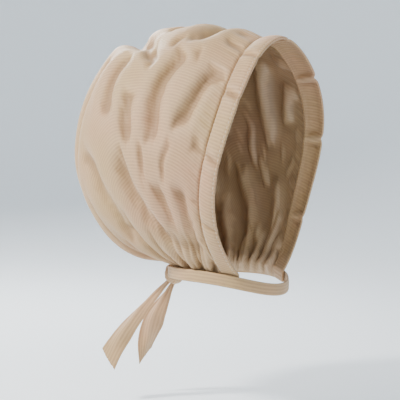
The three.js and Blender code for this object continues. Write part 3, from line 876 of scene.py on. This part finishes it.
def build_knot():
    """Soft lump of gathered ribbon with folds that run in from both sides to its middle turn."""
    ring = np.linspace(0, math.pi, KNOT_RINGS + 1)[1:-1][:, None]
    spoke = np.linspace(0, 2 * math.pi, KNOT_SPOKES + 1)[:-1][None, :]
    x, y, z = np.cos(ring) + 0 * spoke, np.sin(ring) * np.cos(spoke), np.sin(ring) * np.sin(spoke)
    across = x + KNOT_SLANT * z
    wrap = 1 - smooth(np.abs(across), *WRAP_REACH)
    place, wide, deep = WRAP_GROOVE
    groove = np.exp(-(((np.abs(across) - place) / wide) ** 2))
    creases = np.cos(KNOT_CREASES * spoke + 2.2 * across) * (1 - wrap) * np.sin(ring)
    turns = np.cos(across * WRAP_TURNS + 0.6 * np.sin(2 * spoke)) * wrap
    lift = WRAP_LIFT * wrap - deep * groove + KNOT_CREASE_DEPTH * creases + WRAP_TURN_DEPTH * turns
    full = [np.sign(v) * np.abs(v) ** KNOT_FULLNESS for v in (x, y, z)]
    points = np.stack([
        full[0] * (KNOT_WIDTH / 2),
        full[1] * (KNOT_DEPTH / 2 - WRAP_LIFT + lift),
        full[2] * (KNOT_HEIGHT / 2 - WRAP_LIFT + lift),
    ], axis=-1) + knot_place
    first = np.arange(KNOT_RINGS - 2)[:, None] * KNOT_SPOKES
    a = (first + np.arange(KNOT_SPOKES)).ravel()
    b = (first + (np.arange(KNOT_SPOKES) + 1) % KNOT_SPOKES).ravel()
    faces = [tuple(f) for f in np.stack([a, b, b + KNOT_SPOKES, a + KNOT_SPOKES], axis=1)]
    faces.append(tuple(range(KNOT_SPOKES - 1, -1, -1)))
    faces.append(tuple((KNOT_RINGS - 2) * KNOT_SPOKES + i for i in range(KNOT_SPOKES)))
    per_half, per_radian = KNOT_KNIT
    # the weave's third value: grooves painted darker as shade, raised turns paler as painted highlight
    weave = np.stack([across * per_half, spoke * per_radian + 0 * ring, -np.tanh(lift)], axis=-1)
    return make_mesh("knot_cloth", points.reshape(-1, 3), faces, weave.reshape(-1, 3))


hood = build_hood()
band = build_band()
stitches = build_stitches()
ribbon = build_ribbon()
knot = build_knot()
long_end = build_end("long_end_cloth", long_root, LONG_END, LONG_END_SECTIONS, LONG_END_CUT, 2)
short_end = build_end("short_end_cloth", short_root, SHORT_END, SHORT_END_SECTIONS, SHORT_END_CUT, 6)


# Materials
def new_material(name):
    material = bpy.data.materials.new(name)
    material.use_nodes = True
    tree = material.node_tree
    tree.nodes.clear()
    output = tree.nodes.new("ShaderNodeOutputMaterial")
    shader = tree.nodes.new("ShaderNodeBsdfPrincipled")
    tree.links.new(shader.outputs["BSDF"], output.inputs["Surface"])
    return material, tree, shader


def math_node(tree, operation, a, b=None, c=None):
    node = tree.nodes.new("ShaderNodeMath")
    node.operation = operation
    for i, value in enumerate((a, b, c)):
        if value is None:
            continue
        if isinstance(value, (int, float)):
            node.inputs[i].default_value = value
        else:
            tree.links.new(value, node.inputs[i])
    return node.outputs[0]


def colour_ramp(tree, value, stops):
    node = tree.nodes.new("ShaderNodeValToRGB")
    tree.links.new(value, node.inputs["Fac"])
    while len(node.color_ramp.elements) < len(stops):
        node.color_ramp.elements.new(0.5)
    for element, (place, colour) in zip(node.color_ramp.elements, stops):
        element.position = place
        element.color = (*colour, 1)
    return node.outputs["Color"]


def blend_colour(tree, factor, a, b):
    node = tree.nodes.new("ShaderNodeMix")
    node.data_type = "RGBA"
    for socket, value in ((node.inputs["Factor"], factor), (node.inputs["A"], a), (node.inputs["B"], b)):
        if isinstance(value, (int, float)):
            socket.default_value = value
        elif isinstance(value, tuple):
            socket.default_value = (*value, 1)
        else:
            tree.links.new(value, socket)
    return node.outputs["Result"]


def noise(tree, vector, scale, detail, rough=0.5):
    node = tree.nodes.new("ShaderNodeTexNoise")
    tree.links.new(vector, node.inputs["Vector"])
    node.inputs["Scale"].default_value = scale
    node.inputs["Detail"].default_value = detail
    node.inputs["Roughness"].default_value = rough
    return node.outputs["Fac"]


def linear(red, green, blue):
    """Linear colour of an sRGB one given from 0 to 255."""
    def one(v):
        v /= 255
        return v / 12.92 if v <= 0.04045 else ((v + 0.055) / 1.055) ** 2.4
    return one(red), one(green), one(blue)


KNIT_BEIGE = linear(186, 150, 108)
KNIT_PINK = linear(192, 148, 112)
KNIT_YELLOW = linear(182, 151, 102)
# colour of the knit's ribs, and the painted shade in its folds
KNIT_DARK = linear(126, 94, 61)
# paler on ridges: painted highlight and wear
KNIT_WORN_AND_LIT = linear(206, 179, 147)
FILM = linear(172, 158, 138)
THREAD_DARK = linear(176, 156, 132)
THREAD_PALE = linear(206, 188, 164)
RIB_PITCH = 3.0  # millimetres between the knit's ribs
LOOP_PITCH = 1.0
WAVER = 1.6  # millimetres that the ribs stray
# how fine the noise is, in waves to a metre: the ribs' straying, the tints and the yarn's flecks
WAVER_SCALE = 55
TINT_SCALE = 13
FLECK_SCALE = 420
STRAND_SCALE = 3  # and the thread's strands, in waves to a millimetre
RIB_SHADE = 0.8
# how far the colour is painted darker in hollows as shade, and paler on ridges as highlight and wear
HOLLOW_SHADE = 0.6
RIDGE_WEAR_AND_HIGHLIGHT = 0.2
BUMP_HEIGHT = 0.00028  # metres
# bump, roughness, sheen, coat and share of the film's colour, of the knit and of its inner side
KNIT_FINISH = (0.55, 0.62, 0.22, 0.0, 0.0)
FILM_FINISH = (0.35, 0.42, 0.0, 0.12, 0.2)


def knit_material(name, finish):
    strength, roughness, sheen, coat, film = finish
    material, tree, shader = new_material(name)
    weave = tree.nodes.new("ShaderNodeAttribute")
    weave.attribute_name = "weave"
    place = tree.nodes.new("ShaderNodeTexCoord").outputs["Object"]
    split = tree.nodes.new("ShaderNodeSeparateXYZ")
    tree.links.new(weave.outputs["Vector"], split.inputs[0])
    wale, course = split.outputs[0], split.outputs[1]
    # the ribs waver a little, as the lines of a loose knit do
    waver = noise(tree, place, WAVER_SCALE, 2)
    bent = math_node(tree, "ADD", course, math_node(tree, "MULTIPLY", waver, WAVER))
    rib = math_node(tree, "SINE", math_node(tree, "MULTIPLY", bent, 2 * math.pi / RIB_PITCH))
    row = math_node(tree, "SINE", math_node(tree, "MULTIPLY", bent, 2 * math.pi / LOOP_PITCH))
    loop = math_node(tree, "SINE", math_node(tree, "MULTIPLY", wale, 2 * math.pi / LOOP_PITCH))
    loops = math_node(tree, "MULTIPLY", row, loop)
    tint = noise(tree, place, TINT_SCALE, 3)
    base = colour_ramp(tree, tint, [(0.3, KNIT_PINK), (0.5, KNIT_BEIGE), (0.7, KNIT_YELLOW)])
    fleck = noise(tree, place, FLECK_SCALE, 2, 0.6)
    shade = math_node(tree, "MULTIPLY_ADD", rib, 0.5, 0.5)
    shade = math_node(tree, "MULTIPLY", shade, math_node(tree, "MULTIPLY_ADD", fleck, 0.6, 0.15))
    colour = blend_colour(tree, math_node(tree, "MULTIPLY", shade, RIB_SHADE), base, KNIT_DARK)
    # painted shade: the cloth is darker in its folds, and a little paler on its ridges, as painted
    # highlight and wear
    hollow = split.outputs[2]
    for amount, other in ((HOLLOW_SHADE, KNIT_DARK), (-RIDGE_WEAR_AND_HIGHLIGHT, KNIT_WORN_AND_LIT)):
        colour = blend_colour(tree, math_node(tree, "MULTIPLY", hollow, amount), colour, other)
    if film:
        colour = blend_colour(tree, film, colour, FILM)
    tree.links.new(colour, shader.inputs["Base Color"])
    height = math_node(tree, "MULTIPLY_ADD", rib, 0.5, math_node(tree, "MULTIPLY", loops, 0.3))
    height = math_node(tree, "MULTIPLY_ADD", fleck, 0.8, height)
    bump = tree.nodes.new("ShaderNodeBump")
    tree.links.new(height, bump.inputs["Height"])
    tree.links.new(bump.outputs["Normal"], shader.inputs["Normal"])
    bump.inputs["Distance"].default_value = BUMP_HEIGHT
    bump.inputs["Strength"].default_value = strength
    shader.inputs["Roughness"].default_value = roughness
    shader.inputs["Sheen Weight"].default_value = sheen
    shader.inputs["Sheen Roughness"].default_value = 0.45
    shader.inputs["Sheen Tint"].default_value = (1.0, 0.95, 0.88, 1)
    shader.inputs["Coat Weight"].default_value = coat
    shader.inputs["Coat Roughness"].default_value = 0.25
    shader.inputs["Specular IOR Level"].default_value = 0.4
    return material


def thread_material():
    material, tree, shader = new_material("thread")
    twist = tree.nodes.new("ShaderNodeAttribute")
    twist.attribute_name = "weave"
    strand = noise(tree, twist.outputs["Vector"], STRAND_SCALE, 2)
    colour = colour_ramp(tree, strand, [(0.35, THREAD_DARK), (0.65, THREAD_PALE)])
    tree.links.new(colour, shader.inputs["Base Color"])
    shader.inputs["Roughness"].default_value = 0.5
    return material


knit = knit_material("knit", KNIT_FINISH)
for piece in (hood, band, ribbon, knot, long_end, short_end):
    piece.data.materials.append(knit)
hood.data.materials.append(knit_material("film_lining", FILM_FINISH))
stitches.data.materials.append(thread_material())

# What stands for which node
for piece, node in (
    (hood, "hood"),
    (band, "face_band"),
    (ribbon, "neck_ribbon"),
    (knot, "knot"),
    (long_end, "long_end"),
    (short_end, "short_end"),
):
    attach(piece, "root")
    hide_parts(node)
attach(stitches, "root")

# Camera at the photograph's angle
CAMERA_AZIMUTH = -55
CAMERA_ELEVATION = 1.0
LENS = 100
SENSOR = 36
FILL = 0.86  # share of the picture's height that the bonnet takes


def toward(azimuth, elevation):
    """Direction out of the bonnet, in degrees round to its left from the front, and up."""
    turn, tilt = math.radians(azimuth), math.radians(elevation)
    level = math.cos(tilt)
    return Vector((math.sin(turn) * level, -math.cos(turn) * level, math.sin(tilt)))


low, high = cad_box
back = toward(CAMERA_AZIMUTH, CAMERA_ELEVATION)
turn = math.radians(CAMERA_AZIMUTH)
right = Vector((math.cos(turn), math.sin(turn), 0))
up = back.cross(right)
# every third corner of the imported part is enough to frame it
places = [
    node.data.vertices[i].co
    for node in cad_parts.values()
    for i in range(0, len(node.data.vertices), 3)
]
spans = [(min(p.dot(d) for p in places), max(p.dot(d) for p in places)) for d in (right, up)]
centre = (low + high) / 2
middle = centre.copy()
for direction, (least, most) in zip((right, up), spans):
    middle += direction * ((least + most) / 2 - centre.dot(direction))
height = max(most - least for least, most in spans) / FILL
distance = height / 2 / (SENSOR / 2 / LENS)
camera_data = bpy.data.cameras.new("camera")
camera_data.lens = LENS
camera_data.sensor_width = SENSOR
camera = add_object("camera", camera_data)
camera.location = middle + back * distance
camera.rotation_euler = (-back).to_track_quat("-Z", "Y").to_euler()
bpy.context.scene.camera = camera

# Floor below the free ends, which curves up into a backdrop all round
FLOOR_DROP = 0.03
FLOOR_COLOUR = linear(228, 234, 239)
FLOOR_GLOW = linear(226, 234, 240)
FLOOR_GLOW_STRENGTH = 0.27
# places on the floor and backdrop: how far out, and how high
SWEEP = ((0.0, 0.0), (1.0, 0.0), (1.6, 0.08), (2.1, 0.35), (2.4, 0.8), (2.5, 1.5), (2.5, 2.6))
SWEEP_RINGS = 49
SWEEP_SPOKES = 96
floor_z = low.z - FLOOR_DROP
sweep = curve([(far, rise, 0) for far, rise in SWEEP], np.linspace(0, 1, SWEEP_RINGS)[1:])
spokes = np.linspace(0, 2 * math.pi, SWEEP_SPOKES + 1)[:-1]
floor_points = [(middle.x, middle.y, floor_z)] + [
    (middle.x + far * math.cos(turn), middle.y + far * math.sin(turn), floor_z + rise)
    for far, rise, _ in sweep
    for turn in spokes
]
floor_faces = [(0, 1 + i, 1 + (i + 1) % SWEEP_SPOKES) for i in range(SWEEP_SPOKES)] + [
    (first + i, first + SWEEP_SPOKES + i, first + SWEEP_SPOKES + after, first + after)
    for first in range(1, 1 + (len(sweep) - 1) * SWEEP_SPOKES, SWEEP_SPOKES)
    for i, after in ((i, (i + 1) % SWEEP_SPOKES) for i in range(SWEEP_SPOKES))
]
floor_mesh = bpy.data.meshes.new("floor")
floor_mesh.from_pydata(floor_points, [], floor_faces)
floor_mesh.polygons.foreach_set("use_smooth", [True] * len(floor_mesh.polygons))
floor = add_object("floor", floor_mesh)
floor_material, tree, shader = new_material("floor")
shader.inputs["Base Color"].default_value = (*FLOOR_COLOUR, 1)
shader.inputs["Roughness"].default_value = 0.9
shader.inputs["Specular IOR Level"].default_value = 0.2
shader.inputs["Emission Color"].default_value = (*FLOOR_GLOW, 1)
shader.inputs["Emission Strength"].default_value = FLOOR_GLOW_STRENGTH
floor_mesh.materials.append(floor_material)

# Light
WORLD_COLOUR = linear(216, 227, 236)
WORLD_STRENGTH = 0.24
# round and up in degrees, metres away, metres wide, watts and colour
LIGHTS = (
    ("key", -115, 42, 1.3, 0.22, 28, (1.0, 0.97, 0.93)),
    ("fill", -10, 20, 1.6, 1.0, 3, (0.95, 0.97, 1.0)),
    ("rim", 150, 35, 1.4, 0.4, 29, (1.0, 0.99, 0.97)),
)
world = bpy.data.worlds.new("world")
bpy.context.scene.world = world
world.use_nodes = True
background = world.node_tree.nodes["Background"]
background.inputs["Color"].default_value = (*WORLD_COLOUR, 1)
background.inputs["Strength"].default_value = WORLD_STRENGTH
for name, azimuth, elevation, far, size, power, colour in LIGHTS:
    light = bpy.data.lights.new(name, "AREA")
    light.shape = "DISK"
    light.size = size
    light.energy = power
    light.color = colour
    way = toward(azimuth, elevation)
    lamp = add_object(name, light)
    lamp.location = middle + way * far
    lamp.rotation_euler = (-way).to_track_quat("-Z", "Y").to_euler()
